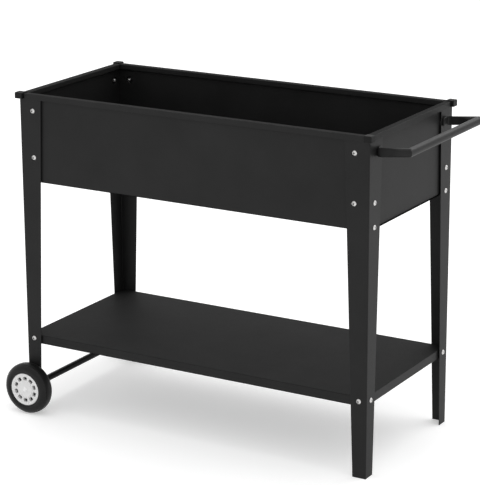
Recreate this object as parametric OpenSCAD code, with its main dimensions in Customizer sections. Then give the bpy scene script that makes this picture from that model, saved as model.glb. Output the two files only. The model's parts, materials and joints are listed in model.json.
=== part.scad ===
// Rolling planter: a raised sheet-metal tray on four folded legs, with a shelf below,
// two wheels at the left end and a pull handle at the right end.
// X runs along the length (handle at +X), -Y is the front, +Z is up.
// The origin is on the floor, under the middle of the whole object.

/* [Overall size] */
// Distance across the outer faces of the legs, along the length
leg_span_x = 936; // [700:2:1200]
// Distance across the outer faces of the legs, front to back
leg_span_y = 424; // [320:2:560]
// Height of the top of the corner caps above the floor
height = 800; // [640:2:960]
// Height of the tray walls
tray_h = 215; // [150:1:260]
// Height of the shelf surface above the floor
shelf_top = 194; // [150:1:260]

/* [Legs] */
// Sheet thickness of the legs
leg_t = 1.5; // [1.2:0.1:3]
// Width of each leg flange at the rim
leg_top_w = 62; // [54:1:80]
// Width of each leg flange at the floor
leg_foot_w = 34; // [30:1:50]
// Outer bend radius of the legs
leg_bend_r = 3.2; // [3:0.1:4]
// Height of the lower end of the wheel-side legs above the floor
wheel_leg_foot = 40; // [30:1:48]

/* [Tray] */
// Sheet thickness of the tray walls
panel_t = 1; // [0.8:0.1:1.6]
// Gap that the embossed pads keep between a leg and the sheet behind it
standoff = 3.5; // [2:0.1:4]
// Width of the flat box rim, seen from above
rim_w = 16; // [14:0.5:20]
// Height of the box rim
rim_h = 13; // [11:0.5:18]
// Width of the folded flange that carries the tray floor
seat_w = 15; // [13:0.5:20]
// Sheet thickness of the tray floor
floor_t = 1; // [0.8:0.1:2]
// Diameter of the drain holes
drain_d = 8; // [5:0.5:12]
// Drain holes along each bay between the floor stiffeners
drain_cols = 2; // [1:1:4]
// Width of a stiffener under the floor
floor_stiff_w = 30; // [20:1:40]
// Depth of a stiffener under the floor
floor_stiff_h = 12; // [8:1:20]
// Distance between the two stiffeners
floor_stiff_pitch = 300; // [240:5:400]
// Distance of the stiffeners' ends from the leg faces
floor_stiff_end = 52; // [30:1:90]

/* [Shelf] */
// Sheet thickness of the shelf
shelf_t = 1; // [0.8:0.1:1.6]
// Height of the lip folded down round the shelf
shelf_lip = 22; // [21:0.5:34]
// Width of the hem folded in under the long lips
shelf_hem = 9; // [6:0.5:14]
// Width of the stiffener under the shelf
stiffener_w = 36; // [24:1:60]
// Depth of the stiffener under the shelf
stiffener_h = 12; // [8:1:16]

/* [Fasteners] */
// Shank diameter of the bolts
bolt_d = 6; // [5:0.5:6]
// Head diameter of the bolts
bolt_head_d = 12; // [11:0.5:13]
// Head height of the bolts
bolt_head_h = 3.8; // [2.6:0.1:5]
// Width of the nuts across their flats
nut_af = 10; // [8:0.5:10]
// Thickness of the nuts
nut_h = 5; // [3:0.1:6]
// Depth of the upper bolts below the rim
bolt_up = 40.5; // [30:0.5:60]
// Depth of the middle bolts below the rim
bolt_mid = 154.5; // [90:0.5:180]
// Height of the lower end bolts above the tray's lower edge
bolt_low = 4.5; // [4:0.5:12]
// Depth of the shelf bolts below the shelf surface
shelf_bolt_down = 9.5; // [9.5:0.5:11]
// Distance of the long-side tray bolts from the leg corner
bolt_in_side = 37; // [30:0.5:38]
// Distance of the end tray bolts from the leg corner
bolt_in_end = 28; // [26:0.5:32]
// Distance of the long-side shelf bolts from the leg corner
shelf_bolt_in_side = 20; // [19:0.5:22]
// Distance of the end shelf bolts from the leg corner
shelf_bolt_in_end = 22; // [19:0.5:24]

/* [Corner caps] */
// How far a corner cap stands proud of the leg faces
cap_proud = 8; // [4:0.5:12]
// How far a corner cap reaches inboard of the leg faces
cap_in = 12; // [10:0.5:12]
// Height of a corner cap
cap_h = 15; // [13.5:0.5:20]
// How far the caps stand above the rim
cap_rise = 2.5; // [1:0.5:5]
// Gap between a cap and the ends of the rims
cap_gap = 3; // [1:0.5:5]
// Length of the plugs that hold a cap in the rims
cap_plug = 20; // [12:1:30]

/* [Handle] */
// Outer diameter of the handle tube
tube_d = 20; // [18:0.5:22]
// Wall thickness of the handle tube
tube_wall = 1.5; // [1:0.1:2]
// Reach of the handle beyond the leg faces
handle_reach = 91; // [80:1:140]
// Distance from the leg corners to the middle of the handle arms
arm_in = 32; // [28:0.5:36]
// How far the grip stands above the handle's tabs
grip_rise = 8; // [0:1:24]
// Thickness of the flattened tube ends
flat_t = 5; // [4.5:0.1:7]
// Height of the flattened tube ends
flat_h = 25; // [22:0.5:28]
// Distance from the middle of an arm to the bolt in its tab
tab_bolt = 15; // [14:0.5:17]

/* [Wheels] */
// Wheel diameter
wheel_d = 127; // [105:1:130]
// Wheel width
wheel_w = 38; // [34:0.5:46]
// Diameter of the hub
hub_d = 82; // [70:1:90]
// How far the hub cover is set in from the tyre's side
cover_set = 3; // [0:0.5:6]
// Axle diameter
axle_d = 16; // [10:0.5:16]
// Distance from the leg corner to the axle
axle_in = 18; // [16:0.5:20]
// Length of the spacer between a leg and its wheel
spacer_l = 6; // [4:0.5:16]
// Vent slots round the hub cover
cover_slots = 10; // [5:1:12]

/* [Clearances] */
// Gap between sheets that meet edge to edge
edge_gap = 0.3; // [0.2:0.1:0.5]
// Radial clearance of a wheel on its axle
axle_play = 0.05; // [0.02:0.01:0.1]
// Radial clearance of a bolt in a sheet
hole_play = 0.3; // [0.2:0.05:0.5]
// Clearance round the cap plugs
plug_play = 0.4; // [0.3:0.1:0.6]
// End play of a wheel between its washers
wheel_play = 0.3; // [0.2:0.1:0.5]

/* [Hidden] */
$fn = 64;
// How far a cutter runs past what it cuts
past = 1;
// Thickness of the slices that a blend is stretched between
slice = 0.02;

// The whole length runs from the wheels' left side to the outside of the grip
wheel_r = wheel_d / 2;
axle_z = wheel_r;
overall_x = leg_span_x + (wheel_r - axle_in) + handle_reach;
x_left = -overall_x / 2 + wheel_r - axle_in;
x_right = x_left + leg_span_x;
x_mid = (x_left + x_right) / 2;
y_leg = leg_span_y / 2;
axle_x = x_left + axle_in;

// Heights
rim_top = height - cap_rise;
rim_low = rim_top - rim_h;
cap_seat = height - cap_h;
tray_z = rim_top - tray_h;
floor_z = tray_z + panel_t;
leg_top = rim_top - panel_t - edge_gap;
shelf_low = shelf_top - shelf_lip;
up_z = rim_top - bolt_up;
mid_z = rim_top - bolt_mid;
low_z = tray_z + bolt_low;
shelf_bolt_z = shelf_top - shelf_bolt_down;

// Distances inboard from the outer face of a leg
setback = leg_t + standoff;
rim_out = panel_t + edge_gap;
rim_in = rim_w - rim_out;
rim_start = cap_in + cap_gap;
seat_in = setback + seat_w;
end_web_in = setback + panel_t + edge_gap;
handle_bolt_in = arm_in + tab_bolt;

// Bolts of one tray corner, as [distance from the leg corner, height]; at the
// right end the upper one holds the handle
side_bolt_list = [[bolt_in_side, up_z], [bolt_in_side, mid_z]];
lower_bolt_list = [[bolt_in_end, mid_z], [bolt_in_end, low_z]];
left_bolt_list = concat([[bolt_in_end, up_z]], lower_bolt_list);
right_bolt_list = concat([[handle_bolt_in, up_z]], lower_bolt_list);

// Shelf
shelf_x = leg_span_x - 2 * setback;
shelf_y = leg_span_y - 2 * setback;
lip_h = shelf_lip - shelf_t;

// Embossed pads
pad_r = 11;
shelf_pad_r = 9;
pad_draft = 1.5;

// Bolts and nuts
shank_play = 0.05;
bolt_tip = 2;
hole_r = bolt_d / 2 + hole_play;
bolt_len = leg_t + max(panel_t, shelf_t) + nut_h + bolt_tip;

// Handle: each arm leaves the leg flat; from strip_end to round_start it rises and
// widens to the round tube, which is mitred at the grip
tube_r = tube_d / 2;
arm_y = y_leg - arm_in;
root_bend_r = 7;
root_x = flat_t / 2 + root_bend_r;
strip_end = 12;
grip_x = handle_reach - tube_r;
round_start = grip_x - tube_r - 5;
tab_end = tab_bolt + 9;
tab_skin = 0.8;
tab_hole_depth = flat_t - tab_skin;
vent_d = 4;

// Distances outwards along the axle from the outer face of a leg
washer_t = 1;
washer_r = axle_d / 2 + 5;
clip_t = 2.5;
clip_r = axle_d / 2 + 3.5;
wheel_in = spacer_l + washer_t + wheel_play;
wheel_out = wheel_in + wheel_w;
cover_t = 2.2;
cover_out = wheel_out - cover_set;
cover_in = cover_out - cover_t;
boss_out = cover_out - 6.5;
outer_washer = boss_out + wheel_play;
clip_in = outer_washer + washer_t;
axle_out = clip_in + clip_t + 1;
dome_in = axle_out + 1;
dome_out = dome_in + 2;

// Hub
hub_r = hub_d / 2;
hub_fit = 0.1;
boss_r = axle_d / 2 + 8;

// ---- shared shapes -------------------------------------------------------------

// Width of a leg flange at height z
function leg_w(z) = leg_foot_w + (leg_top_w - leg_foot_w) * z / rim_top;

// Puts a shape drawn at a leg corner (x and y run inboard) at corner (sx, sy)
module at_corner(sx, sy) {
    translate([sx < 0 ? x_left : x_right, sy * y_leg, 0])
        mirror([sx > 0 ? 1 : 0, 0, 0])
            mirror([0, sy > 0 ? 1 : 0, 0])
                children();
}

module at_all_corners() {
    for (sx = [-1, 1])
        for (sy = [-1, 1])
            at_corner(sx, sy) children();
}

// Turns a shape drawn along +Z so that it runs along +Y (into a long side)
module into_side(x, z) {
    translate([x, 0, z]) rotate([-90, 0, 0]) children();
}

// Turns a shape drawn along +Z so that it runs along +X (into an end)
module into_end(y, z) {
    translate([0, y, z]) rotate([0, 90, 0]) children();
}

// Pan-head bolt with a cross recess; the head's underside is at z = 0 and the shank runs up
module bolt(shank_d, head_d, head_h, length) {
    crown_r = (head_d * head_d / 4 + head_h * head_h) / (2 * head_h);
    recess_w = 1.2;
    difference() {
        union() {
            cylinder(r = shank_d / 2 - shank_play, h = length);
            intersection() {
                translate([0, 0, crown_r - head_h]) sphere(r = crown_r);
                translate([0, 0, -head_h]) cylinder(d = head_d, h = head_h);
            }
        }
        for (a = [0, 90])
            rotate([0, 0, a])
                translate([-head_d / 4, -recess_w / 2, -head_h - past])
                    cube([head_d / 2, recess_w, past + head_h / 2]);
    }
}

// Hexagon nut, seated at z = 0, with its far corners chamfered
module nut(af, shank_d, thick) {
    top_r = af / 2 + 0.3;
    difference() {
        intersection() {
            cylinder(d = af / cos(30), h = thick, $fn = 6);
            cylinder(r1 = top_r + thick, r2 = top_r, h = thick);
        }
        translate([0, 0, -past]) cylinder(r = shank_d / 2 + shank_play, h = thick + 2 * past);
    }
}

// Embossed pad that stands out from a sheet: drawn with the sheet's outer face at
// z = 0 and its inner face at z = t; the pad's top is at z = -standoff
module pad(r, t) {
    translate([0, 0, -standoff]) cylinder(r1 = r - pad_draft, r2 = r, h = standoff);
    cylinder(r = r, h = t);
}

// What is pressed out behind a pad, and the bolt hole through it
module pad_recess(r, t) {
    translate([0, 0, t - standoff]) cylinder(r1 = r - pad_draft - t, r2 = r - t, h = standoff);
    translate([0, 0, t - slice]) cylinder(r = r - t, h = past);
    translate([0, 0, -standoff - past]) cylinder(r = hole_r, h = standoff + t + 2 * past);
}

// Folded channel along +X, open downwards, with its top at z = 0
module channel(length, width, depth, t) {
    translate([-length / 2, -width / 2, -depth])
        difference() {
            cube([length, width, depth]);
            translate([-past, t, -past])
                cube([length + 2 * past, width - 2 * t, depth - t + past]);
        }
}

// ---- tray walls ----------------------------------------------------------------

// A tray wall along +X, with the leg face at y = 0 and the tray inside at +y.
// length is the distance across the leg faces; web_in, seat_end and bolts are
// measured from each end, and bolts is a list of [distance, height]
module tray_wall(length, web_in, seat_end, bolts) {
    web_top = min(cap_seat, rim_low + panel_t) - edge_gap;
    difference() {
        union() {
            translate([web_in, setback, tray_z])
                cube([length - 2 * web_in, panel_t, web_top - tray_z]);
            translate([rim_start, setback, tray_z])
                cube([length - 2 * rim_start, panel_t, rim_low + panel_t - tray_z]);
            translate([seat_end, setback, tray_z])
                cube([length - 2 * seat_end, seat_w, panel_t]);
            translate([rim_start, 0, 0]) box_rim(length - 2 * rim_start);
            for (b = bolts)
                for (x = [b[0], length - b[0]])
                    intersection() {
                        translate([x, setback, b[1]]) rotate([-90, 0, 0]) pad(pad_r, panel_t);
                        translate([0, 0, tray_z]) cube([length, setback + panel_t, tray_h]);
                    }
        }
        for (b = bolts)
            for (x = [b[0], length - b[0]])
                translate([x, setback, b[1]]) rotate([-90, 0, 0]) pad_recess(pad_r, panel_t);
    }
}

// Box rim folded from the wall: band outside, flat top, riser and ledge inside.
// The leg tops stand in the open slot between the band and the wall
module box_rim(length) {
    difference() {
        translate([0, -rim_out, rim_low]) cube([length, rim_w, rim_h]);
        translate([-past, -edge_gap, rim_low + panel_t])
            cube([length + 2 * past, rim_in + edge_gap - panel_t, rim_h - 2 * panel_t]);
        translate([-past, -edge_gap, rim_low - past])
            cube([length + 2 * past, setback + edge_gap, panel_t + 2 * past]);
    }
}

module side_panel() {
    color("#2b2b2b")
        translate([x_left, -y_leg, 0])
            tray_wall(leg_span_x, setback, end_web_in, side_bolt_list);
}

module end_panel(bolts) {
    seat_end = bolt_in_end + pad_r + 1;
    color("#2b2b2b")
        translate([x_left, y_leg, 0]) rotate([0, 0, -90])
            tray_wall(leg_span_y, end_web_in, seat_end, bolts);
}

module front_panel() { side_panel(); }
module back_panel() { mirror([0, 1, 0]) side_panel(); }
module left_end_panel() { end_panel(left_bolt_list); }
module right_end_panel() {
    translate([2 * x_mid, 0, 0]) mirror([1, 0, 0]) end_panel(right_bolt_list);
}

// ---- tray floor ----------------------------------------------------------------

// Drop-in pan: its border lies on the folded seats of the walls, and its middle is
// pressed down between them, level with their undersides
module tray_floor() {
    border = end_web_in;
    drop = seat_in + edge_gap;
    nut_room = nut_af / 2 + 3;
    inner_x = leg_span_x - 2 * drop;
    inner_y = leg_span_y - 2 * drop;
    bay_ends = [-inner_x / 2, -floor_stiff_pitch / 2, floor_stiff_pitch / 2, inner_x / 2];
    color("#262626")
        difference() {
            union() {
                translate([x_left + border, -y_leg + border, floor_z])
                    cube([leg_span_x - 2 * border, leg_span_y - 2 * border, floor_t]);
                translate([x_left + drop, -inner_y / 2, tray_z])
                    cube([inner_x, inner_y, panel_t + floor_t]);
            }
            translate([x_left + drop + floor_t, -inner_y / 2 + floor_t, tray_z + floor_t])
                cube([inner_x - 2 * floor_t, inner_y - 2 * floor_t, panel_t + floor_t]);
            // Room for the nuts of the lower end bolts
            at_all_corners()
                translate([0, bolt_in_end - nut_room, floor_z - past])
                    cube([bolt_len + 1, 2 * nut_room, floor_t + 2 * past]);
            for (bay = [0 : 2])
                for (i = [0 : drain_cols - 1])
                    for (sy = [-1, 1]) {
                        step = (bay_ends[bay + 1] - bay_ends[bay]) / drain_cols;
                        drain_x = x_mid + bay_ends[bay] + (i + 0.5) * step;
                        translate([drain_x, sy * inner_y / 4, tray_z - past])
                            cylinder(d = drain_d, h = floor_t + 2 * past);
                    }
        }
}

// Channel spot-welded under the pan, from front to back
module floor_stiffener(sx) {
    color("#262626")
        translate([x_mid + sx * floor_stiff_pitch / 2, 0, tray_z])
            rotate([0, 0, 90])
                channel(leg_span_y - 2 * floor_stiff_end, floor_stiff_w, floor_stiff_h, floor_t);
}

module left_floor_stiffener() { floor_stiffener(-1); }
module right_floor_stiffener() { floor_stiffener(1); }

// ---- legs ----------------------------------------------------------------------

// Outline of one leg flange, drawn from the corner: distance inboard against height
module flange_outline(foot_z) {
    polygon([
        [leg_bend_r, foot_z], [leg_w(foot_z), foot_z], [leg_w(leg_top), leg_top],
        [rim_start - edge_gap, leg_top], [rim_start - edge_gap, cap_seat], [leg_bend_r, cap_seat]
    ]);
}

// Folded leg at a corner: one flange lies on the long side, the other on the end,
// where end_bolts lists the tray bolts
module leg(foot_z, has_axle, end_bolts) {
    color("#2b2b2b")
        difference() {
            union() {
                translate([0, leg_t, 0]) rotate([90, 0, 0])
                    linear_extrude(leg_t) flange_outline(foot_z);
                rotate([90, 0, 90]) linear_extrude(leg_t) flange_outline(foot_z);
                translate([leg_bend_r, leg_bend_r, foot_z])
                    linear_extrude(cap_seat - foot_z)
                        difference() {
                            circle(r = leg_bend_r);
                            circle(r = leg_bend_r - leg_t);
                            translate([0, -2 * leg_bend_r]) square(4 * leg_bend_r);
                            translate([-2 * leg_bend_r, 0]) square(4 * leg_bend_r);
                        }
            }
            for (b = concat(side_bolt_list, [[shelf_bolt_in_side, shelf_bolt_z]]))
                translate([0, -past, 0])
                    into_side(b[0], b[1]) cylinder(r = hole_r, h = leg_t + 2 * past);
            for (b = concat(end_bolts, [[shelf_bolt_in_end, shelf_bolt_z]]))
                translate([-past, 0, 0])
                    into_end(b[0], b[1]) cylinder(r = hole_r, h = leg_t + 2 * past);
            if (has_axle)
                translate([0, -past, 0])
                    into_side(axle_in, axle_z) cylinder(r = axle_d / 2 + hole_play, h = leg_t + 2 * past);
        }
}

module front_left_leg() { at_corner(-1, -1) leg(wheel_leg_foot, true, left_bolt_list); }
module back_left_leg() { at_corner(-1, 1) leg(wheel_leg_foot, true, left_bolt_list); }
module front_right_leg() { at_corner(1, -1) leg(0, false, right_bolt_list); }
module back_right_leg() { at_corner(1, 1) leg(0, false, right_bolt_list); }

// ---- corner caps ---------------------------------------------------------------

// Moulded block on the leg corner, with a plug into the end of each rim
module corner_cap() {
    edge = 1;
    side = cap_proud + cap_in;
    plug_y = leg_t + plug_play;
    plug_w = rim_in - panel_t - plug_play - plug_y;
    plug_z = rim_low + panel_t + plug_play;
    plug_h = rim_h - 2 * panel_t - 2 * plug_play;
    color("#1f1f1f") {
        translate([-cap_proud, -cap_proud, cap_seat]) {
            cube([side, side, cap_h - edge]);
            translate([edge, edge, 0]) cube([side - 2 * edge, side - 2 * edge, cap_h]);
        }
        for (m = [0, 1])
            mirror([m, -m, 0])
                translate([cap_in - edge, plug_y, plug_z]) cube([cap_plug + edge, plug_w, plug_h]);
    }
}

module front_left_cap() { at_corner(-1, -1) corner_cap(); }
module front_right_cap() { at_corner(1, -1) corner_cap(); }
module back_left_cap() { at_corner(-1, 1) corner_cap(); }
module back_right_cap() { at_corner(1, 1) corner_cap(); }

// ---- shelf ---------------------------------------------------------------------

module at_shelf_bolts() {
    at_all_corners() {
        into_side(shelf_bolt_in_side, shelf_bolt_z) children();
        into_end(shelf_bolt_in_end, shelf_bolt_z) children();
    }
}

module at_front_pads() {
    for (sx = [-1, 1])
        at_corner(sx, -1)
            into_side(shelf_bolt_in_side, shelf_bolt_z) translate([0, 0, setback]) children();
}

module at_left_pads() {
    for (sy = [-1, 1])
        at_corner(-1, sy)
            into_end(shelf_bolt_in_end, shelf_bolt_z) translate([0, 0, setback]) children();
}

// Flat sheet, closed round its edge by the lips under it
module shelf() {
    color("#262626")
        translate([x_left + setback, -shelf_y / 2, shelf_top - shelf_t])
            cube([shelf_x, shelf_y, shelf_t]);
}

// Lip under the front edge, hemmed inwards, and carried by the legs through its pads
module long_lip() {
    color("#262626")
        difference() {
            union() {
                translate([x_left + setback, -shelf_y / 2, shelf_low]) {
                    cube([shelf_x, shelf_t, lip_h]);
                    translate([shelf_t, 0, 0]) cube([shelf_x - 2 * shelf_t, shelf_hem, shelf_t]);
                }
                intersection() {
                    at_front_pads() pad(shelf_pad_r, shelf_t);
                    translate([x_left, -y_leg, shelf_low]) cube([leg_span_x, setback + shelf_t, lip_h]);
                }
            }
            at_front_pads() pad_recess(shelf_pad_r, shelf_t);
        }
}

// Lip under the left edge, between the long lips
module end_lip() {
    color("#262626")
        difference() {
            union() {
                translate([x_left + setback, -shelf_y / 2 + shelf_t, shelf_low])
                    cube([shelf_t, shelf_y - 2 * shelf_t, lip_h]);
                intersection() {
                    at_left_pads() pad(shelf_pad_r, shelf_t);
                    translate([x_left, -y_leg, shelf_low]) cube([setback + shelf_t, leg_span_y, lip_h]);
                }
            }
            at_left_pads() pad_recess(shelf_pad_r, shelf_t);
        }
}

module front_shelf_lip() { long_lip(); }
module back_shelf_lip() { mirror([0, 1, 0]) long_lip(); }
module left_shelf_lip() { end_lip(); }
module right_shelf_lip() { translate([2 * x_mid, 0, 0]) mirror([1, 0, 0]) end_lip(); }

// Channel spot-welded under the shelf, along its middle
module shelf_stiffener() {
    end_in = setback + shelf_t + nut_h + 1;
    color("#262626")
        translate([x_mid, 0, shelf_top - shelf_t])
            channel(leg_span_x - 2 * end_in, stiffener_w, stiffener_h, shelf_t);
}

// ---- handle --------------------------------------------------------------------

// Half of the handle, drawn round the arm's centre line: x runs out from the leg face
// and the leg corner is at +y. inset is 0 for the outside and the wall for the bore
module handle_half(inset) {
    r = tube_r - inset;
    half_h = flat_h / 2 - inset;
    half_t = flat_t / 2 - inset;
    // The bore of the arm ends a little narrower than the bore of the tube, in a clean step
    end_r = r - inset / 5;
    translate([root_x, -half_t, -half_h]) cube([strip_end - root_x, 2 * half_t, 2 * half_h]);
    // The flattened end rises and widens into the round tube
    hull() {
        translate([strip_end, 0, 0]) rotate([0, 90, 0])
            linear_extrude(slice) square([2 * half_h, 2 * half_t], center = true);
        translate([round_start, 0, grip_rise]) rotate([0, 90, 0])
            cylinder(r = end_r, h = slice, $fn = 32);
    }
    difference() {
        translate([round_start, 0, grip_rise]) rotate([0, 90, 0])
            cylinder(r = r, h = handle_reach - round_start);
        beyond_mitre(0);
    }
    difference() {
        translate([grip_x, tube_r, grip_rise]) rotate([90, 0, 0])
            cylinder(r = r, h = tube_r + arm_y + slice);
        beyond_mitre(180);
    }
}

// What a tube loses at the corner of arm and grip: for the arm at turn 0, the grip at 180
module beyond_mitre(turn) {
    side = 4 * tube_d;
    translate([grip_x, 0, grip_rise]) rotate([0, 0, turn - 45])
        translate([0, -side / 2, -side / 2]) cube(side);
}

// Tab that lies on the leg, inboard of the arm, and turns into the flattened arm
module handle_tab() {
    outer_r = root_bend_r + flat_t / 2;
    difference() {
        union() {
            translate([0, -tab_end, -flat_h / 2]) cube([flat_t, tab_end - root_bend_r, flat_h]);
            translate([root_x, -root_bend_r, -flat_h / 2])
                linear_extrude(flat_h)
                    difference() {
                        circle(r = outer_r);
                        circle(r = root_bend_r - flat_t / 2);
                        translate([0, -2 * outer_r]) square(4 * outer_r);
                        translate([-2 * outer_r, -4 * outer_r]) square(4 * outer_r);
                    }
        }
        translate([-past, -tab_bolt, 0]) rotate([0, 90, 0])
            cylinder(r = bolt_d / 2, h = past + tab_hole_depth);
    }
}

// Puts a shape drawn round an arm's centre line at both arms
module at_arms() {
    for (m = [0, 1])
        mirror([0, m, 0]) translate([x_right, arm_y, up_z]) children();
}

module handle() {
    color("#333333")
        difference() {
            at_arms() {
                handle_half(0);
                handle_tab();
            }
            at_arms() {
                handle_half(tube_wall);
                // Vent hole under the grip
                translate([grip_x, -2 * tube_d, grip_rise - tube_r - past])
                    cylinder(d = vent_d, h = tube_r + past);
            }
        }
}

// ---- axle and wheels -----------------------------------------------------------

// Puts a shape drawn outwards along +Z, from the leg's outer face, at side sy
module on_axle(sy) {
    translate([axle_x, sy * y_leg, axle_z]) rotate([sy > 0 ? -90 : 90, 0, 0]) children();
}

module ring(r_out, r_in, z0, z1) {
    translate([0, 0, z0])
        difference() {
            cylinder(r = r_out, h = z1 - z0);
            translate([0, 0, -past]) cylinder(r = r_in, h = z1 - z0 + 2 * past);
        }
}

module axle() {
    half = y_leg + axle_out;
    color("#262626")
        translate([axle_x, half, axle_z]) rotate([90, 0, 0]) cylinder(d = axle_d, h = 2 * half);
}

module axle_spacers() {
    color("#1f1f1f")
        for (sy = [-1, 1])
            on_axle(sy) ring(washer_r, axle_d / 2 + hole_play, 0, spacer_l);
}

module axle_washers() {
    color("silver")
        for (sy = [-1, 1])
            on_axle(sy) {
                ring(washer_r, axle_d / 2 + hole_play, spacer_l, spacer_l + washer_t);
                ring(washer_r, axle_d / 2 + hole_play, outer_washer, clip_in);
            }
}

// Push-on clips that hold the wheels on the axle
module axle_clips() {
    color("silver")
        for (sy = [-1, 1])
            on_axle(sy) ring(clip_r, axle_d / 2, clip_in, clip_in + clip_t);
}

module tyre() {
    fillet = min(16, wheel_r - hub_r - 4);
    half_w = wheel_w / 2;
    color("#222222")
        translate([0, 0, wheel_in + half_w])
            rotate_extrude($fn = 96)
                intersection() {
                    union() {
                        translate([hub_r, -half_w]) square([wheel_r - fillet - hub_r, wheel_w]);
                        translate([hub_r, -half_w + fillet])
                            square([wheel_r - hub_r, wheel_w - 2 * fillet]);
                        for (s = [-1, 1])
                            translate([wheel_r - fillet, s * (half_w - fillet)]) circle(r = fillet);
                    }
                    translate([hub_r, -wheel_w]) square([wheel_r, 2 * wheel_w]);
                }
}

// Rim, web, boss and ribs in one moulding
module hub() {
    rim_wall = 3.5;
    rim_inset = 1;
    web_t = 4;
    web_z = (wheel_in + cover_in - web_t) / 2;
    ribs = 5;
    rib_t = 3;
    rib_l = hub_r - rim_wall - boss_r + 2;
    rib_inset = 7;
    color("#222222")
        difference() {
            union() {
                ring(hub_r - hub_fit, hub_r - rim_wall, wheel_in + rim_inset, cover_in);
                translate([0, 0, wheel_in]) cylinder(r = boss_r, h = boss_out - wheel_in);
                translate([0, 0, web_z]) cylinder(r = hub_r - rim_wall / 2, h = web_t);
                for (i = [0 : ribs - 1])
                    rotate([0, 0, i * 360 / ribs])
                        translate([boss_r - 1, -rib_t / 2, wheel_in + rib_inset])
                            cube([rib_l, rib_t, cover_in - wheel_in - 2 * rib_inset]);
            }
            translate([0, 0, wheel_in - past])
                cylinder(r = axle_d / 2 + axle_play, h = wheel_w + 2 * past);
        }
}

// Snap-on cover with vent slots, domed over the clip, with a small boss in the middle
module hub_cover() {
    slot_r = 0.68 * hub_r;
    slot_len = 8.5;
    slot_w = 11;
    dome_r = 22;
    dome_draft = 4;
    dome_wall = 6;
    button_r = 5;
    button_h = 1.6;
    color("#e6e6e4")
        difference() {
            union() {
                translate([0, 0, cover_in]) cylinder(r = hub_r - 2 * hub_fit, h = cover_t);
                translate([0, 0, cover_out])
                    cylinder(r1 = dome_r, r2 = dome_r - dome_draft, h = dome_out - cover_out);
                translate([0, 0, dome_out]) cylinder(r1 = button_r, r2 = button_r - 1, h = button_h);
            }
            translate([0, 0, cover_in - past])
                cylinder(r = dome_r - dome_wall, h = dome_in - cover_in + past);
            for (i = [0 : cover_slots - 1])
                rotate([0, 0, (i + 0.5) * 360 / cover_slots])
                    translate([slot_r - slot_len / 2, -slot_w / 2, cover_in - past])
                        cube([slot_len, slot_w, cover_t + 2 * past]);
        }
}

module front_tyre() { on_axle(-1) tyre(); }
module front_hub() { on_axle(-1) hub(); }
module front_hub_cover() { on_axle(-1) hub_cover(); }
module back_tyre() { on_axle(1) tyre(); }
module back_hub() { on_axle(1) hub(); }
module back_hub_cover() { on_axle(1) hub_cover(); }

// ---- fasteners -----------------------------------------------------------------

module leg_bolt() {
    color("silver") bolt(bolt_d, bolt_head_d, bolt_head_h, bolt_len);
}

// Nut behind a sheet of thickness t
module leg_nut(t) {
    color("silver") translate([0, 0, leg_t + t]) nut(nut_af, bolt_d, nut_h);
}

module tray_side_bolts() {
    at_all_corners()
        for (b = side_bolt_list) into_side(b[0], b[1]) leg_bolt();
}

module tray_side_nuts() {
    at_all_corners()
        for (b = side_bolt_list) into_side(b[0], b[1]) leg_nut(panel_t);
}

// The upper bolts at the right end hold the handle instead
module at_end_bolts() {
    for (sx = [-1, 1])
        for (sy = [-1, 1])
            at_corner(sx, sy)
                for (b = sx < 0 ? left_bolt_list : lower_bolt_list)
                    into_end(b[0], b[1]) children();
}

module tray_end_bolts() { at_end_bolts() leg_bolt(); }
module tray_end_nuts() { at_end_bolts() leg_nut(panel_t); }

module shelf_bolts() { at_shelf_bolts() leg_bolt(); }
module shelf_nuts() { at_shelf_bolts() leg_nut(shelf_t); }

// Put in from inside the tray, through wall and leg, into the blind holes of the tabs
module handle_bolts() {
    reach = leg_t + panel_t + tab_hole_depth - 0.5;
    color("silver")
        for (sy = [-1, 1])
            at_corner(1, sy)
                into_end(handle_bolt_in, up_z)
                    translate([0, 0, leg_t + panel_t]) mirror([0, 0, 1])
                        bolt(bolt_d, bolt_head_d, bolt_head_h, reach);
}

front_panel();
back_panel();
left_end_panel();
right_end_panel();
tray_floor();
left_floor_stiffener();
right_floor_stiffener();
front_left_leg();
front_right_leg();
back_left_leg();
back_right_leg();
front_left_cap();
front_right_cap();
back_left_cap();
back_right_cap();
shelf();
front_shelf_lip();
back_shelf_lip();
left_shelf_lip();
right_shelf_lip();
shelf_stiffener();
handle();
axle();
axle_spacers();
axle_washers();
axle_clips();
front_tyre();
front_hub();
front_hub_cover();
back_tyre();
back_hub();
back_hub_cover();
tray_side_bolts();
tray_side_nuts();
tray_end_bolts();
tray_end_nuts();
shelf_bolts();
shelf_nuts();
handle_bolts();
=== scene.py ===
"""The looks of a rolling planter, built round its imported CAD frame."""
import json
import math

import bmesh
import bpy
from mathutils import Matrix, Vector


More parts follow.
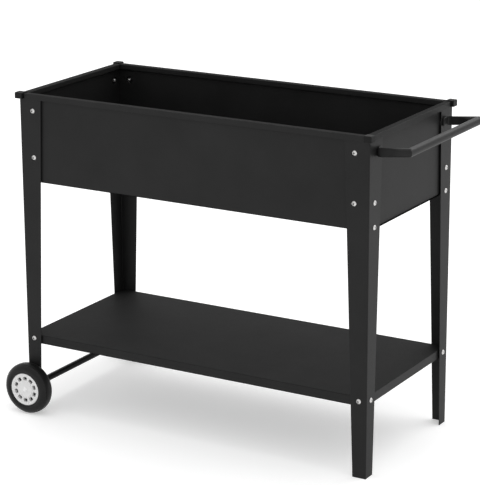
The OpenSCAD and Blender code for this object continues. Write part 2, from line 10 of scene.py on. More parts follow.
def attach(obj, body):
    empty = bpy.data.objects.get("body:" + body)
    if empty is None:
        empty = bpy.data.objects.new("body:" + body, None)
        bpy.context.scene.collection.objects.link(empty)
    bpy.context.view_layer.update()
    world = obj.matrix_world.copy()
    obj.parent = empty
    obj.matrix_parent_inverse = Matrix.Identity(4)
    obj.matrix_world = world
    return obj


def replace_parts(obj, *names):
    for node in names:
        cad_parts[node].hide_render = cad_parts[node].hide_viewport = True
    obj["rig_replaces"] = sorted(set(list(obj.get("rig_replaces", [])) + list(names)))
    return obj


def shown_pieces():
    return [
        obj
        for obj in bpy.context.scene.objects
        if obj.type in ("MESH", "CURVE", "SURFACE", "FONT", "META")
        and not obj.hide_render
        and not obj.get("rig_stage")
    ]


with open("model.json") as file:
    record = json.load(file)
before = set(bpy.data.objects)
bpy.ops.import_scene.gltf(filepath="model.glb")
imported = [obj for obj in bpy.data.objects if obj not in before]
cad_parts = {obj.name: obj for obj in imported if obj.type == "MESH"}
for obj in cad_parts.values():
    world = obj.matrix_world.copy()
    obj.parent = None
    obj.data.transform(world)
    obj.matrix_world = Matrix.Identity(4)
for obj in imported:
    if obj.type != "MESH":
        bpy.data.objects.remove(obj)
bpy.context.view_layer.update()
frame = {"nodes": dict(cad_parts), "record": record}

MM = 0.001

# ---- camera --------------------------------------------------------------------------

# The camera was solved from the object's uprights and level edges in the picture
CAMERA_AT = (2.4330, -4.1318, 1.8306)
CAMERA_YAW = 0.5335
CAMERA_PITCH = 0.2817
CAMERA_ROLL = -0.0049
FOCAL_PX = 2081.8
PICTURE_LONG_SIDE = 485
SENSOR_MM = 36.0
SIGHT_M = 100


def make_camera():
    data = bpy.data.cameras.new("camera")
    data.sensor_width = SENSOR_MM
    data.lens = FOCAL_PX * SENSOR_MM / PICTURE_LONG_SIDE
    data.clip_end = SIGHT_M
    camera = bpy.data.objects.new("camera", data)
    yaw = Matrix.Rotation(CAMERA_YAW, 4, "Z")
    tilt = Matrix.Rotation(math.pi / 2 - CAMERA_PITCH, 4, "X")
    roll = Matrix.Rotation(CAMERA_ROLL, 4, "Z")
    camera.matrix_world = Matrix.Translation(CAMERA_AT) @ (yaw @ tilt) @ roll
    bpy.context.scene.collection.objects.link(camera)
    bpy.context.scene.camera = camera


# ---- material nodes ------------------------------------------------------------------


class Finish:
    """A material under construction: its Principled shader and short calls for its nodes."""

    def __init__(self, name, **sockets):
        self.material = bpy.data.materials.new(name)
        self.material.use_nodes = True
        self.tree = self.material.node_tree
        self.shader = self.tree.nodes["Principled BSDF"]
        for socket, value in sockets.items():
            self.shader.inputs[socket.replace("_", " ")].default_value = value

    def node(self, kind, inputs=None, **settings):
        """Adds a node, makes its settings, and sets or links its inputs."""
        made = self.tree.nodes.new(kind)
        for key, value in settings.items():
            setattr(made, key, value)
        for key, value in (inputs or {}).items():
            self.feed(made.inputs[key], value)
        return made

    def feed(self, socket, value):
        if isinstance(value, bpy.types.NodeSocket):
            self.tree.links.new(value, socket)
        else:
            socket.default_value = value

    def place(self):
        return self.node("ShaderNodeTexCoord").outputs["Object"]

    def noise(self, scale, detail=3.0, rough=0.55, at=None, stretch=None):
        """Noise with details of about 1 / scale metres, from 0 to 1 and mostly near 0.5."""
        at = at or self.place()
        if stretch:
            at = self.node("ShaderNodeMapping", {"Vector": at, "Scale": stretch}).outputs[0]
        made = self.node("ShaderNodeTexNoise", {"Vector": at, "Scale": scale, "Detail": detail,
                                                "Roughness": rough})
        return made.outputs["Fac"]

    def spread(self, value, low, high, to_low=0.0, to_high=1.0):
        """Maps low..high to to_low..to_high, clamped."""
        made = self.node("ShaderNodeMapRange", {"Value": value, "From Min": low, "From Max": high,
                                                "To Min": to_low, "To Max": to_high})
        return made.outputs[0]

    def levels(self, noise, to_low=0.0, to_high=1.0):
        """Stretches the middle of a noise, where most of it lies, to to_low..to_high."""
        return self.spread(noise, 0.3, 0.7, to_low, to_high)

    def times(self, a, b):
        return self.node("ShaderNodeMath", {0: a, 1: b}, operation="MULTIPLY").outputs[0]

    def plus(self, a, b):
        return self.node("ShaderNodeMath", {0: a, 1: b}, operation="ADD").outputs[0]

    def mix(self, amount, a, b):
        made = self.node("ShaderNodeMix", data_type="RGBA")
        self.feed(made.inputs["Factor"], amount)
        self.feed(made.inputs[6], a)
        self.feed(made.inputs[7], b)
        return made.outputs[2]

    def attribute(self, name):
        """A value that the mesh carries, such as worn: 1 on rounded edges, 0 on flats."""
        return self.node("ShaderNodeAttribute", attribute_name=name).outputs["Fac"]

    def upward(self):
        """1 where a surface faces straight up, 0 where it leans by more than about 53 degrees."""
        normal = self.node("ShaderNodeNewGeometry").outputs["Normal"]
        return self.spread(self.node("ShaderNodeSeparateXYZ", {0: normal}).outputs["Z"], 0.6, 1.0)

    def bump(self, *layers):
        """Stacks bump layers, each (height, depth in metres, strength)."""
        normal = None
        for height, depth, strength in layers:
            made = self.node("ShaderNodeBump", {"Height": height, "Distance": depth,
                                                "Strength": strength})
            if normal:
                self.feed(made.inputs["Normal"], normal)
            normal = made.outputs[0]
        self.feed(self.shader.inputs["Normal"], normal)

    def colour(self, value):
        self.feed(self.shader.inputs["Base Color"], value)

    def roughness(self, value):
        self.feed(self.shader.inputs["Roughness"], value)


def grey(value, warm=0.0):
    """A grey, as a linear colour; warm moves it from blue to brown."""
    return (value * (1 + warm), value, value * (1 - warm), 1.0)


def powder_coat(name, tone, roughness, sheen=0.168, dulled=0.0):
    """Black powder coat on sheet steel: orange peel, fine sand, and lighter, smoother edges.

    dulled is how much rougher weather has made the faces that lie open to the sky, and is
    below 0 where hands have polished them."""
    coat = Finish(name, Specular_IOR_Level=sheen)
    at = coat.place()
    cloud = coat.noise(9, 4, at=at)
    peel = coat.noise(700, 2, at=at)
    sand = coat.noise(3200, 2, 0.7, at=at)
    specks = coat.spread(coat.noise(1500, 2, 0.5, at=at), 0.66, 0.74)
    scuffs = coat.spread(coat.noise(160, 5, 0.7, at=at), 0.46, 0.64)
    scuff = coat.times(coat.attribute("worn"), scuffs)
    upward = coat.upward()
    dust = coat.times(upward, coat.spread(coat.noise(45, 6, 0.65, at=at), 0.5, 0.8))
    base = coat.mix(coat.levels(cloud), grey(tone * 0.82), grey(tone * 1.16))
    for where, share, paint in ((specks, 0.25, grey(tone * 2.2)), (scuff, 0.35, grey(tone * 3.6)),
                                (dust, 0.012, grey(0.32, 0.06))):
        base = coat.mix(coat.times(where, share), base, paint)
    coat.colour(base)
    rough = coat.levels(peel, roughness - 0.05, roughness + 0.06)
    for where, rougher in ((scuff, -0.08), (upward, dulled), (dust, 0.06)):
        rough = coat.plus(rough, coat.times(where, rougher))
    coat.roughness(rough)
    coat.bump((coat.noise(4, 2, at=at), 0.0012, 0.35), (peel, 0.00006, 0.6), (sand, 0.00002, 0.7))
    return coat.material


def moulded_black(name):
    """Moulded black plastic with a fine spark-eroded grain and paler worn corners."""
    plastic = Finish(name, Specular_IOR_Level=0.14)
    at = plastic.place()
    grain = plastic.noise(2600, 2, 0.6, at=at)
    flow = plastic.noise(60, 4, at=at, stretch=(1, 1, 3))
    rubs = plastic.spread(plastic.noise(240, 4, 0.7, at=at), 0.42, 0.62)
    rubbed = plastic.times(plastic.attribute("worn"), rubs)
    base = plastic.mix(flow, grey(0.005), grey(0.009))
    plastic.colour(plastic.mix(plastic.times(rubbed, 0.3), base, grey(0.03)))
    smoothed = plastic.plus(grain, plastic.times(rubbed, -0.2))
    plastic.roughness(plastic.spread(smoothed, 0.2, 0.8, 0.46, 0.62))
    plastic.bump((flow, 0.0002, 0.25), (grain, 0.00004, 0.6))
    return plastic.material


def tyre_rubber(name):
    """Solid black tyre: matte, faintly mottled, with dust ground into the tread and a smoother band
    round each shoulder, painted lighter as a highlight.
    """
    rubber = Finish(name, Specular_IOR_Level=0.22)
    at = rubber.place()
    pores = rubber.noise(1800, 3, 0.7, at=at)
    mottle = rubber.noise(70, 5, 0.6, at=at)
    streaks = rubber.noise(300, 4, 0.7, at=at, stretch=(1, 0.12, 1))
    scratches = rubber.spread(streaks, 0.56, 0.7)
    tread = rubber.attribute("tread")
    shoulder = rubber.attribute("shoulder")
    base = rubber.mix(rubber.levels(mottle), grey(0.004), grey(0.007))
    # Painted highlight: the shoulder band is painted lighter than the rest of the rubber
    base = rubber.mix(rubber.times(shoulder, 0.4), base, grey(0.010))
    base = rubber.mix(rubber.times(rubber.times(tread, scratches), 0.2), base, grey(0.06, 0.05))
    rubber.colour(base)
    rough = rubber.plus(rubber.levels(mottle, 0.3, 0.38), rubber.times(tread, 0.1))
    rubber.roughness(rubber.plus(rough, rubber.times(shoulder, -0.12)))
    rubber.bump((mottle, 0.0003, 0.2), (pores, 0.00005, 0.6), (scratches, 0.00006, 0.3))
    return rubber.material


def pale_plastic(name):
    """Light grey moulded plastic: satin, faint flow marks, a little dirt in the corners, and a
    smoother button painted near white as a highlight.
    """
    plastic = Finish(name, Specular_IOR_Level=0.5, Subsurface_Weight=0.03)
    plastic.shader.inputs["Subsurface Radius"].default_value = (0.004, 0.004, 0.004)
    at = plastic.place()
    flow = plastic.noise(35, 4, at=at)
    grain = plastic.noise(2200, 2, 0.6, at=at)
    grime = plastic.spread(plastic.noise(130, 6, 0.7, at=at), 0.52, 0.85)
    button = plastic.attribute("button")
    base = plastic.mix(flow, grey(0.76, 0.004), grey(0.84, 0.002))
    base = plastic.mix(plastic.times(grime, 0.16), base, grey(0.4, 0.04))
    # Painted highlight: the button is painted near white
    plastic.colour(plastic.mix(button, base, grey(0.95)))
    rough = plastic.spread(plastic.plus(flow, plastic.times(grime, 0.4)), 0.2, 1.1, 0.34, 0.5)
    plastic.roughness(plastic.plus(rough, plastic.times(button, -0.16)))
    plastic.bump((flow, 0.0002, 0.2), (grain, 0.00002, 0.5))
    return plastic.material


def zinc_steel(name):
    """Bright zinc-plated steel with turned marks and slight clouding, and painted shade: its cross
    recess is painted near black.
    """
    steel = Finish(name, Metallic=1.0)
    at = steel.place()
    cloud = steel.noise(420, 4, 0.6, at=at)
    marks = steel.noise(2400, 3, 0.6, at=at, stretch=(1, 1, 0.15))
    recess = steel.attribute("recess")
    base = steel.mix(steel.levels(cloud), grey(0.50, 0.01), grey(0.66, 0.015))
    # Painted shade: the cross recess is painted near black
    steel.colour(steel.mix(steel.times(recess, 0.85), base, grey(0.03)))
    steel.roughness(steel.plus(steel.levels(cloud, 0.24, 0.38), steel.times(marks, 0.08)))
    steel.bump((marks, 0.00002, 0.5), (cloud, 0.00004, 0.3))
    return steel.material


# ---- mesh tools ----------------------------------------------------------------------

WELD = 0.001 * MM
FLAT = math.radians(0.6)
SHARP = math.radians(32)
INNER_FOLD = 0.8
BEVEL_SHARE = 0.28
BEVEL_SEGMENTS = 3
# How much more a wide face counts than a narrow one where their normals are averaged
WIDE_FACES_WEIGHT = 80


def finish_piece(mesh, name, body, slot, material, *nodes):
    """Makes an object of a mesh in the frame's coordinates that rides on a body and stands
    for nodes."""
    mesh.materials.clear()
    mesh.materials.append(material)
    piece = bpy.data.objects.new(name, mesh)
    bpy.context.scene.collection.objects.link(piece)
    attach(piece, body)
    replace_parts(piece, *nodes)


def body_of_node(name):
    for body, names in frame["record"]["behaviour"]["bodies"].items():
        if name in names:
            return body


def slot_of_node(name):
    return next(s["material_slot"] for s in frame["record"]["subparts"] if s["node"] == name)


def applied(thing):
    """The mesh of a scratch object with its modifiers applied; the object goes."""
    thing.data.update()
    graph = bpy.context.evaluated_depsgraph_get()
    mesh = bpy.data.meshes.new_from_object(
        thing.evaluated_get(graph), preserve_all_data_layers=True, depsgraph=graph)
    old = thing.data
    bpy.data.objects.remove(thing)
    bpy.data.meshes.remove(old)
    return mesh


def scratch(mesh):
    thing = bpy.data.objects.new("scratch", mesh)
    bpy.context.scene.collection.objects.link(thing)
    return thing


def face_width(face):
    """About how wide a face is, for a long strip or a compact one."""
    return 2 * face.calc_area() / face.calc_perimeter()


def softened(name, material, fold):
    """A copy of a CAD node with rounded folds and broken edges, which stands for it.

    An outer fold between wide faces gets a bevel of fold mm and an inner one of INNER_FOLD mm;
    elsewhere the bevel is a share of the narrower face. The bevels are marked as worn."""
    work = bmesh.new()
    work.from_mesh(frame["nodes"][name].data)
    bmesh.ops.remove_doubles(work, verts=work.verts, dist=WELD)
    bmesh.ops.dissolve_limit(work, angle_limit=FLAT, verts=work.verts, edges=work.edges)
    weights = work.edges.layers.float.new("bevel_weight_edge")
    for edge in work.edges:
        if edge.calc_face_angle(0) < SHARP:
            continue
        widest = (fold if edge.is_convex else INNER_FOLD) * MM
        narrow = min(face_width(face) for face in edge.link_faces)
        edge[weights] = min(widest, BEVEL_SHARE * narrow) / (fold * MM)
    mesh = bpy.data.meshes.new("scratch")
    work.to_mesh(mesh)
    work.free()
    # The bevel gives its faces the second slot, by which mark_worn finds them
    mesh.materials.clear()
    mesh.materials.append(material)
    mesh.materials.append(material)
    mesh.polygons.foreach_set("material_index", [0] * len(mesh.polygons))
    mesh.shade_smooth()
    thing = scratch(mesh)
    bevel = thing.modifiers.new("bevel", "BEVEL")
    bevel.width = fold * MM
    bevel.segments = BEVEL_SEGMENTS
    bevel.limit_method = "WEIGHT"
    bevel.use_clamp_overlap = False
    bevel.miter_outer = "MITER_ARC"
    bevel.material = 1
    flats = thing.modifiers.new("flats", "WEIGHTED_NORMAL")
    flats.mode = "FACE_AREA"
    flats.weight = WIDE_FACES_WEIGHT
    mesh = applied(thing)
    mark_worn(mesh)
    finish_piece(mesh, name + "_piece", body_of_node(name), slot_of_node(name), material, name)


def mark_worn(mesh):
    """Turns the faces of the second material slot into the corner attribute worn."""
    worn = mesh.attributes.new("worn", "FLOAT", "CORNER")
    values = [0.0] * len(mesh.loops)
    for face in mesh.polygons:
        if face.material_index == 1:
            for corner in face.loop_indices:
                values[corner] = 1.0
    worn.data.foreach_set("value", values)
    mesh.polygons.foreach_set("material_index", [0] * len(mesh.polygons))


# ---- meshes of its own ---------------------------------------------------------------


def mesh_of(work):
    mesh = bpy.data.meshes.new("piece")
    work.to_mesh(mesh)
    work.free()
    return mesh


def skin(rings, loop=False):
    """A closed mesh over rings of points in mm: with flat ends, or with the last ring joined
    to the first."""
    work = bmesh.new()
    made = [[work.verts.new(Vector(point) * MM) for point in ring] for ring in rings]
    for a, b in zip(made, made[1:] + (made[:1] if loop else [])):
        for i in range(len(a)):
            j = (i + 1) % len(a)
            work.faces.new((a[i], a[j], b[j], b[i]))
    if not loop:
        work.faces.new(made[0])
        work.faces.new(made[-1])
    bmesh.ops.recalc_face_normals(work, faces=work.faces)
    return mesh_of(work)


def lathe(profile, segments, loop=False):
    """Turns (radius, height) points round Z."""
    rings = []
    for radius, height in profile:
        angles = [2 * math.pi * i / segments for i in range(segments)]
        rings.append([(radius * math.cos(t), radius * math.sin(t), height) for t in angles])
    return skin(rings, loop)


def arc(centre, radius, start, stop, steps):
    """Points of an arc in a plane, angles in degrees, both ends included."""
    angles = [math.radians(start + (stop - start) * i / steps) for i in range(steps + 1)]
    return [(centre[0] + radius * math.cos(t), centre[1] + radius * math.sin(t)) for t in angles]


def rounded_box(length, width, corner, height):
    """A ring at a height: a rectangle with rounded corners."""
    ring = []
    for sx, sy, start in ((1, 1, 0), (-1, 1, 90), (-1, -1, 180), (1, -1, 270)):
        centre = (sx * (length / 2 - corner), sy * (width / 2 - corner))
        ring += arc(centre, corner, start, start + 90, 4)
    return [(x, y, height) for x, y in ring]


def joined(placed):
    """One mesh of (mesh, matrix) pairs."""
    work = bmesh.new()
    for mesh, matrix in placed:
        first = len(work.verts)
        work.from_mesh(mesh)
        work.verts.ensure_lookup_table()
        bmesh.ops.transform(work, matrix=matrix, verts=work.verts[first:])
    return mesh_of(work)


def less(mesh, tool):
    """The mesh with the tool cut out of it; both are used up."""
    body, other = scratch(mesh), scratch(tool)
    boolean = body.modifiers.new("cut", "BOOLEAN")
    boolean.operation = "DIFFERENCE"
    boolean.solver = "EXACT"
    boolean.object = other
    result = applied(body)
    bpy.data.objects.remove(other)
    bpy.data.meshes.remove(tool)
    return result


def shaded(mesh, degrees):
    """Smooth, apart from edges sharper than the angle."""
    mesh.shade_smooth()
    mesh.set_sharp_from_angle(angle=math.radians(degrees))
    return mesh


def from_axis(at):
    """Distance in mm of a point of a mesh from the Z axis."""
    return math.hypot(at.x, at.y) / MM


def mark(mesh, name, share_at):
    """Gives each point of a mesh the value of a function of its place."""
    values = mesh.attributes.new(name, "FLOAT", "POINT")
    values.data.foreach_set("value", [float(share_at(vert.co)) for vert in mesh.vertices])


# ---- wheels --------------------------------------------------------------------------

# Place of the axle, outer face of the legs, and sizes along the axle from that face, in mm
AXLE_X = -472.75
AXLE_Z = 63.5
LEG_FACE = 212.0
WHEEL_MID = 26.3
WHEEL_HALF = 19.0
TYRE_R = 63.5
HUB_R = 41.0
COVER_IN = 40.1
COVER_OUT = 42.3


def on_axle(mesh, side):
    """Puts a mesh drawn outwards along Z at the front (-1) or back (1) wheel."""
    turn = Matrix.Rotation(-side * math.pi / 2, 4, "X")
    place = Matrix.Translation((AXLE_X * MM, side * LEG_FACE * MM, AXLE_Z * MM))
    mesh.transform(place @ turn)
    return mesh


def tyre_mesh():
    """Solid tyre with full shoulders, a groove along each side of the tread and a bead lip."""
    shoulder = 16.0
    centre = (TYRE_R - shoulder, WHEEL_HALF - shoulder)
    # Distance out from the hub and depth below the side, in mm
    bead = ((0, 1.6), (0.3, 1.0), (1.0, 0.7), (1.9, 0.8), (2.4, 1.3), (3.0, 1.4), (3.6, 1.0),
            (4.4, 0.3), (5.4, 0.03))
    # Degrees from the groove's middle and height over the shoulder in mm: groove, then a rib
    groove_at = 28.0
    groove = ((3.4, -0.05), (2.2, -0.3), (1.2, -0.75), (-0.4, -0.8), (-1.4, 0.1), (-2.6, 0.2),
              (-4.5, 0.1))
    half = [(HUB_R + out, WHEEL_HALF - drop) for out, drop in bead]
    half += arc(centre, shoulder, 90, groove_at + 5, 14)
    for angle, lift in groove:
        half += arc(centre, shoulder + lift, groove_at + angle, groove_at + angle, 1)[:1]
    half += arc(centre, shoulder, groove_at - 8, 0, 5)
    half.append((TYRE_R, 0.0))
    profile = [(radius, WHEEL_MID + height) for radius, height in half]
    profile += [(radius, WHEEL_MID - height) for radius, height in reversed(half[:-1])]
    mesh = lathe(profile, 144, loop=True)
    # Where the tread begins, in mm, and where the polished band lies, in degrees, and how wide each
    # fades; the band is also painted lighter as a highlight
    tread_r, tread_fade = 59.0, 4.0
    polish_and_highlight_at, polish_and_highlight_fade = 40, 18

    def tread(at):
        return min(1.0, max(0.0, (from_axis(at) - tread_r) / tread_fade))

    def polish_and_painted_highlight(at):
        """How near a point is, in degrees round the shoulder, to the band that is polished and
        painted lighter as a highlight.
        """
        outward = from_axis(at) - centre[0]
        sideways = abs(at.z / MM - WHEEL_MID) - centre[1]
        off = abs(math.degrees(math.atan2(sideways, outward)) - polish_and_highlight_at)
        return max(0.0, 1 - off / polish_and_highlight_fade) if outward > 0 else 0.0

    mark(mesh, "tread", tread)
    # shoulder: the polished band, which the rubber also paints lighter as a highlight
    mark(mesh, "shoulder", polish_and_painted_highlight)
    return shaded(mesh, 70)


# Outlines of the hub cover's rim and dome: radius, and height over the plate, in mm
COVER_RIM = (
    (34.6, -1), (34.6, 0.1), (34.9, 0.6), (35.5, 0.95), (36.4, 1.1), (39.2, 1.1), (40.1, 0.9),
    (40.6, 0.4), (40.85, -0.25), (40.85, -1),
)
COVER_DOME = (
    (21.9, -1), (21.9, 0.1), (21.6, 0.7), (20.9, 1.2), (19.6, 1.45), (18.4, 1.4), (17.6, 1.0),
    (16.8, 0.85), (12, 1.1), (6.6, 1.3), (5.8, 1.4), (5.3, 1.8), (4.9, 2.3), (4.2, 2.65),
    (2.4, 2.85), (0.6, 2.9),
)
BUTTON_R = 5.5
COVER_SLOTS = 10
SLOT_RING_R = 0.68 * HUB_R


def cover_mesh():
    """Hub cover: plate with ten deep slots, raised rim, stepped dome and a small button."""
    around = 128
    length, width, corner = 8.5, 11.0, 2.0
    flare, wall, depth = 1.2, 2.0, 5.0

    def outline(wider, height):
        return rounded_box(length + wider, width + wider, corner + wider / 2, height)

    def raised(profile):
        return [(radius, COVER_OUT + over) for radius, over in profile]

    places = []
    for i in range(COVER_SLOTS):
        spin = Matrix.Rotation(2 * math.pi * (i + 0.5) / COVER_SLOTS, 4, "Z")
        places.append(spin @ Matrix.Translation((SLOT_RING_R * MM, 0, 0)))
    slot = skin([outline(0, COVER_IN - 1), outline(0, COVER_OUT - 0.5),
                 outline(flare, COVER_OUT + 0.1)])
    collar = skin([outline(0, COVER_IN + 0.4), outline(0, COVER_IN - depth),
                   outline(wall, COVER_IN - depth), outline(wall, COVER_IN + 0.4)], loop=True)
    plate = lathe([(40.4, COVER_IN), (40.8, COVER_IN + 0.4), (40.8, COVER_OUT - 0.2),
                   (40.6, COVER_OUT)], around)
    plate = less(plate, joined([(slot, place) for place in places]))
    rim = lathe(raised(COVER_RIM), around, loop=True)
    dome = lathe(raised(COVER_DOME), around)
    flat = Matrix()
    whole = joined([(plate, flat), (rim, flat), (dome, flat)]
                   + [(collar, place) for place in places])
    # The button gets a painted highlight and a smoother finish in the plastic
    mark(whole, "button", lambda at: from_axis(at) < BUTTON_R and at.z > (COVER_OUT + 1) * MM)
    return shaded(whole, 40)


# ---- handle --------------------------------------------------------------------------

# Face of the right legs, middle of an arm and height of the tabs in mm, then how far the grip
# lies over and beyond the tabs
LEG_END = 445.25
ARM_Y = 180.0
TAB_Z = 757.0
GRIP_RISE = 8.0
GRIP_X = 81.0
TUBE_R = 10.0
# Distances of a tab's bolt and of a vent from the middle of the arm
TAB_BOLT_IN = 15
VENT_IN = 40


def ease(value, low, high):
    """Rises smoothly from 0 at low to 1 at high."""
    share = min(1.0, max(0.0, (value - low) / (high - low)))
    return share * share * (3 - 2 * share)


def ring_across(centre, across, up, half_w, half_h):
    """A stadium ring round a centre, half_w each way along across and half_h along up."""
    least_straight = 0.04
    straight = max(half_h - half_w, least_straight)
    ring = []
    for end, start in ((1, 0), (-1, 180)):
        for w, h in arc((0, end * straight), half_w, start, start + 180, 12):
            ring.append(centre + across * w + up * h)
    return ring


def arm_rings():
    """Sections of the back half of the handle, from the end of its tab to the middle."""
    flat_w, flat_h, root_r, tab_end = 2.5, 10.6, 7.0, 24.0
    corner_r = 7.0
    swell_from, swell_to = 30, 70
    up = Vector((0, 0, 1))
    rings = []

    def section(x, y, heading, half_w, half_h):
        turn = math.radians(heading)
        across = Vector((-math.sin(turn), math.cos(turn), 0))
        rings.append(ring_across(Vector((x, y, 0)), across, up, half_w, half_h))

    for in_y in (0, 0.25, 0.8, 1.8, 3.2, 5, 7):
        corner = corner_r - math.sqrt(corner_r ** 2 - (corner_r - in_y) ** 2)
        section(flat_w, in_y - tab_end, 90, flat_w - max(0.0, 0.8 - in_y), flat_h - corner)
    for k in range(11):
        x, y = arc((flat_w + root_r, -root_r), root_r, 180 - 9 * k, 0, 1)[0]
        section(x, y, 90 - 9 * k, flat_w, flat_h)
    # The straight arm rises and narrows to the grip and, further on, widens to the round tube
    arm_from, arm_to = flat_w + root_r, GRIP_X - TUBE_R - 1.5
    steps = 24
    for k in range(1, steps + 1):
        x = arm_from + (arm_to - arm_from) * k / steps
        along = (x - arm_from) / (GRIP_X - arm_from)
        half_w = flat_w + (TUBE_R - flat_w) * ease(x, swell_from, swell_to)
        half_h = flat_h + (TUBE_R - flat_h) * along
        centre = Vector((x, 0, GRIP_RISE * along))
        rings.append(ring_across(centre, Vector((0, 1, 0)), up, half_w, half_h))
    # A mitred corner with its edge eased by two short steps
    for turn, back in ((22.5, 1.2), (45, 0.0), (67.5, -1.2)):
        slant = math.radians(turn)
        stretch = max(math.cos(slant), math.sin(slant))
        across = Vector((math.sin(slant), math.cos(slant), 0)) / stretch
        centre = Vector((GRIP_X - max(0.0, back), -max(0.0, -back), GRIP_RISE))
        rings.append(ring_across(centre, across, up, TUBE_R, TUBE_R))
    for in_y in (12, 20, 40, 70, 105, 140, ARM_Y):
        centre = Vector((GRIP_X, -in_y, GRIP_RISE))
        rings.append(ring_across(centre, Vector((1, 0, 0)), up, TUBE_R, TUBE_R))
    root = Vector((LEG_END, ARM_Y, TAB_Z))
    return [[point + root for point in ring] for ring in rings]


def handle_mesh():
    """Mitred tube with flattened arms, blind bolt holes in its tabs and vents under the grip."""
    back = arm_rings()
    front = [[(point.x, -point.y, point.z) for point in ring] for ring in back]
    tube = skin(back + front[-2::-1])
    holes = []
    bolt_hole = lathe([(3.0, -1), (3.0, 4.2)], 24)
    vent = lathe([(2.0, -14), (2.0, -6)], 24)
    for side in (-1, 1):
        into = Matrix.Rotation(math.pi / 2, 4, "Y")
        tab_at = Vector((LEG_END, side * (ARM_Y - TAB_BOLT_IN), TAB_Z))
        vent_at = Vector((LEG_END + GRIP_X, side * (ARM_Y - VENT_IN), TAB_Z + GRIP_RISE))
        holes.append((bolt_hole, Matrix.Translation(tab_at * MM) @ into))
        holes.append((vent, Matrix.Translation(vent_at * MM)))
    return shaded(less(tube, joined(holes)), 40)


# ---- bolts ---------------------------------------------------------------------------

BOLT_HEAD = 3.8
CROWN_R = 6.637
SHANK_R = 2.95
THREAD_ROOT_R = 2.6
THREAD_PITCH = 0.8


def crown_height(out):
    """Height of the head's domed top at a distance from its middle."""
    return CROWN_R - BOLT_HEAD - math.sqrt(CROWN_R ** 2 - out ** 2)


def cross_ring(arm, half_width, pit, height):
    """A ring at a height: a cross with a round pit in its middle."""
    around = 96
    ring = []
    for k in range(around):
        turn = 2 * math.pi * (k + 0.5) / around
        off_axis = abs((turn + math.pi / 4) % (math.pi / 2) - math.pi / 4)
        out = max(pit, min(arm / math.cos(off_axis), half_width / math.sin(off_axis)))
        ring.append((out * math.cos(turn), out * math.sin(turn), height))
    return ring


def bolt_mesh(length):
    """Pan-head bolt: shank up along Z with thread rings, head below 0 with a cross recess."""
    profile = [(out, crown_height(out)) for out in (0.5, 1.5, 2.5, 3.5, 4.4, 5.1, 5.6)]
    profile += [(5.88, -0.5), (5.98, -0.3), (5.98, -0.1), (5.85, 0), (3.2, 0), (SHANK_R, 0.25)]
    along = 1.0
    while along < length - 1.4:
        profile += [(SHANK_R, along), (THREAD_ROOT_R, along + THREAD_PITCH / 2)]
        along += THREAD_PITCH
    profile += [(2.9, length - 1.0), (2.2, length - 0.1), (2.0, length)]
    recess = skin([cross_ring(arm=3.4, half_width=1.0, pit=2.5, height=-BOLT_HEAD - 0.5),
                   cross_ring(arm=1.8, half_width=0.6, pit=1.7, height=-2.1)])
    blank = less(lathe(profile, 40), recess)

    # Points in the cross recess, which the zinc paints near black as shade
    def recess_painted_shade(at):
        out = from_axis(at)
        return out < 3.7 and at.z < -1.0 * MM and at.z / MM > crown_height(out) + 0.15

    mark(blank, "recess", recess_painted_shade)
    return blank


def solids(node):
    """Lowest corner, highest corner and mean point of each solid of a CAD node."""
    work = bmesh.new()
    work.from_mesh(frame["nodes"][node].data)
    bmesh.ops.remove_doubles(work, verts=work.verts, dist=WELD)
    left = dict.fromkeys(work.verts)        # in the mesh's order, so that each run is the same
    found = []
    while left:
        todo = [next(iter(left))]
        del left[todo[0]]
        points = []
        while todo:
            vert = todo.pop()
            points.append(vert.co.copy())
            for edge in vert.link_edges:
                other = edge.other_vert(vert)
                if other in left:
                    del left[other]
                    todo.append(other)
        low = Vector([min(point[k] for point in points) for k in range(3)])
        high = Vector([max(point[k] for point in points) for k in range(3)])
        found.append((low, high, sum(points, Vector()) / len(points)))
    work.free()
    return found


def bolts(node, material):
    """Detailed bolts in place of a node's plain ones; each lies as its CAD solid does."""
    placed = []
    shape = None
    for low, high, mean in solids(node):
        size = high - low
        middle = (low + high) / 2
        # The bolt's axis is the one whose size is unlike the two others
        axis = max(range(3), key=lambda k: min(abs(size[k] - size[j]) for j in range(3) if j != k))
        toward_tip = Vector((0, 0, 0))
        toward_tip[axis] = 1.0 if mean[axis] < middle[axis] else -1.0
        shape = shape or bolt_mesh(size[axis] / MM - BOLT_HEAD)
        seat = middle - toward_tip * (size[axis] / 2 - BOLT_HEAD * MM)
        place = Matrix.Translation(seat) @ toward_tip.to_track_quat("Z", "Y").to_matrix().to_4x4()
        placed.append((shape, place))
    mesh = shaded(joined(placed), 35)
    finish_piece(mesh, node + "_piece", body_of_node(node), "zinc_steel", material, node)


# ---- stage and light -----------------------------------------------------------------

FLOOR_GLOW = 0.36
FLOOR_HALF_M = 40
# Strength of the world as a light; as a background it shows with strength 1
WORLD_LIGHT = 0.9


def shows_background(tree):
    """1 for rays that show the background: of the camera, of gloss and through glass."""
    path = tree.nodes.new("ShaderNodeLightPath").outputs
    total = path["Is Camera Ray"]
    for kind in ("Is Glossy Ray", "Is Transmission Ray"):
        add = tree.nodes.new("ShaderNodeMath")
        tree.links.new(total, add.inputs[0])
        tree.links.new(path[kind], add.inputs[1])
        total = add.outputs[0]
    return total


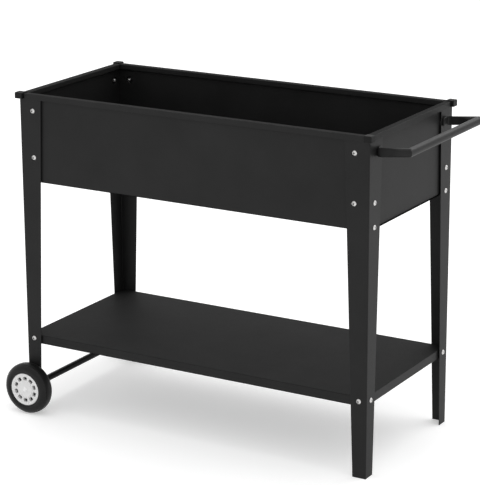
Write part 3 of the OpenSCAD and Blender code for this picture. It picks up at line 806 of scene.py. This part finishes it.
def make_stage():
    """A plain white floor; to the camera and to reflections it shows a glow under its shadows."""
    floor = Finish("floor", Roughness=0.9, Specular_IOR_Level=0.0)
    floor.colour(grey(0.9))
    glow = floor.node("ShaderNodeEmission", {"Color": grey(1.0), "Strength": FLOOR_GLOW})
    both = floor.node("ShaderNodeAddShader", {0: floor.shader.outputs[0], 1: glow.outputs[0]})
    shows = shows_background(floor.tree)
    either = floor.node("ShaderNodeMixShader",
                        {0: shows, 1: floor.shader.outputs[0], 2: both.outputs[0]})
    floor.tree.links.new(either.outputs[0], floor.tree.nodes["Material Output"].inputs["Surface"])
    half = FLOOR_HALF_M
    corners = [(-half, -half, 0), (half, -half, 0), (half, half, 0), (-half, half, 0)]
    mesh = bpy.data.meshes.new("floor")
    mesh.from_pydata(corners, [], [(0, 1, 2, 3)])
    mesh.materials.append(floor.material)
    stage = bpy.data.objects.new("floor", mesh)
    bpy.context.scene.collection.objects.link(stage)
    stage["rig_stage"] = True


# Name, energy, width in degrees, direction that it comes from, and whether only gloss sees it
LAMPS = (
    ("overhead", 0.5, 50, (0.17, 0.21, 0.96), False),
    ("overhead_gloss", 0.25, 25, (0.17, 0.1, 0.96), True),
    ("back_gloss", 0.5, 35, (0.12, 0.83, 0.55), True),
)


def make_lights():
    world = bpy.data.worlds.new("studio")
    world.use_nodes = True
    tree = world.node_tree
    background = tree.nodes["Background"]
    background.inputs["Color"].default_value = (1, 1, 1, 1)
    strength = tree.nodes.new("ShaderNodeMapRange")
    strength.inputs["To Min"].default_value = WORLD_LIGHT
    strength.inputs["To Max"].default_value = 1.0
    tree.links.new(shows_background(tree), strength.inputs["Value"])
    tree.links.new(strength.outputs[0], background.inputs["Strength"])
    bpy.context.scene.world = world
    for name, energy, angle, toward, gloss_only in LAMPS:
        lamp = bpy.data.lights.new(name, "SUN")
        lamp.energy = energy
        lamp.angle = math.radians(angle)
        thing = bpy.data.objects.new(name, lamp)
        thing.rotation_euler = Vector(toward).to_track_quat("Z", "Y").to_euler()
        thing.visible_diffuse = not gloss_only
        bpy.context.scene.collection.objects.link(thing)
    bpy.context.scene.view_settings.view_transform = "Standard"


# ---- the object ----------------------------------------------------------------------

make_camera()
make_stage()
make_lights()

black_coat = powder_coat("black_coat", 0.012, 0.5, dulled=0.4)
# The axle is darker, and the shelf and the end panels are duller, than the rest of the black steel
rod_coat = powder_coat("rod_coat", 0.003, 0.36, sheen=0.08)
shelf_coat = powder_coat("shelf_coat", 0.012, 0.66, sheen=0.1)
end_coat = powder_coat("end_coat", 0.012, 0.5, sheen=0.13, dulled=0.4)
handle_coat = powder_coat("handle_coat", 0.0135, 0.5, sheen=0.16, dulled=-0.14)
black_plastic = moulded_black("black_plastic")
rubber = tyre_rubber("tyre_rubber")
pale = pale_plastic("grey_plastic")
zinc = zinc_steel("zinc_steel")
FINISHES = {
    "black_coat": black_coat, "handle_coat": handle_coat, "black_plastic": black_plastic,
    "tyre_rubber": rubber, "grey_plastic": pale, "zinc_steel": zinc,
}
OWN_FINISHES = {
    "axle": rod_coat, "shelf": shelf_coat,
    "left_end_panel": end_coat, "right_end_panel": end_coat,
}
# Radii in mm of the folds of sheet metal and of the edges of the moulded caps
SHEET_FOLD = 1.6
CAP_EDGE = 0.8

finish_piece(handle_mesh(), "handle_piece", "frame", "handle_coat", handle_coat, "handle")
for side, end in ((-1, "front"), (1, "back")):
    wheel = end + "_wheel"
    tyre, cover = on_axle(tyre_mesh(), side), on_axle(cover_mesh(), side)
    finish_piece(tyre, end + "_tyre_piece", wheel, "tyre_rubber", rubber, end + "_tyre")
    finish_piece(cover, end + "_cover_piece", wheel, "grey_plastic", pale, end + "_hub_cover")
for name in ("tray_side_bolts", "tray_end_bolts", "shelf_bolts", "handle_bolts"):
    bolts(name, zinc)
shaped = {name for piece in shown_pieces() for name in piece.get("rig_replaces", [])}
for name in frame["nodes"]:
    if name not in shaped:
        material = OWN_FINISHES.get(name, FINISHES[slot_of_node(name)])
        softened(name, material, CAP_EDGE if "cap" in name else SHEET_FOLD)
